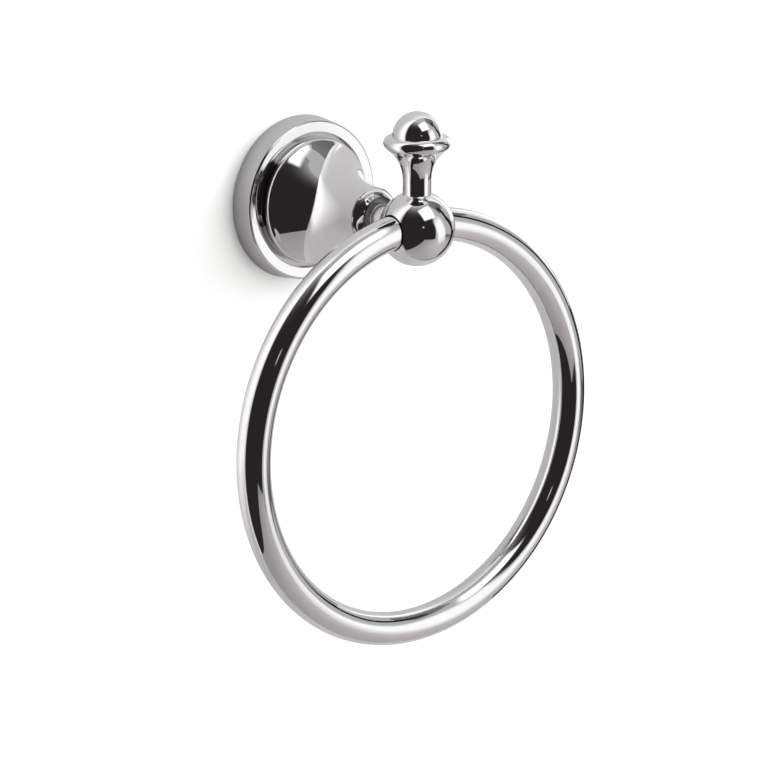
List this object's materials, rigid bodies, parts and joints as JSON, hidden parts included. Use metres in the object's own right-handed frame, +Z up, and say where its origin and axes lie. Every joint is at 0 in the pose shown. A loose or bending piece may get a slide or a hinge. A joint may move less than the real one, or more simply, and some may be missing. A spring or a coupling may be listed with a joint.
{
  "type": "towel ring",
  "caption": "Wall-mounted towel ring: round rose with a bell-shaped neck, a cross-bored ball hub under a turned finial, and a large hanging ring that swings freely.",
  "frame": {"origin": "centre of the rose's back, on the wall plane", "axes": "+Z up, +Y into the wall, the object stands out along -Y, +X to the right when facing the wall"},
  "size_m": [0.16, 0.08, 0.1948],
  "materials": {
    "chrome": "mirror-polished chrome plate",
    "plated_steel": "zinc-plated pressed sheet",
    "fastener": "plain stainless"
  },
  "bodies": {
    "wall_post": {"wall_bracket": "plated_steel", "rose": "chrome", "grub_screw": "fastener", "centre_bolt": "fastener", "lock_washer": "fastener", "neck_collar": "chrome", "ball_hub": "chrome", "finial": "chrome"},
    "hanging_ring": {"ring": "chrome"}
  },
  "joints": [
    {"name": "ring_swing", "type": "hinge", "parent": "wall_post", "child": "hanging_ring", "pos_m": [0, -0.0665, 0], "axis": [1, 0, 0], "range_deg": [-204, 24]}
  ]
}
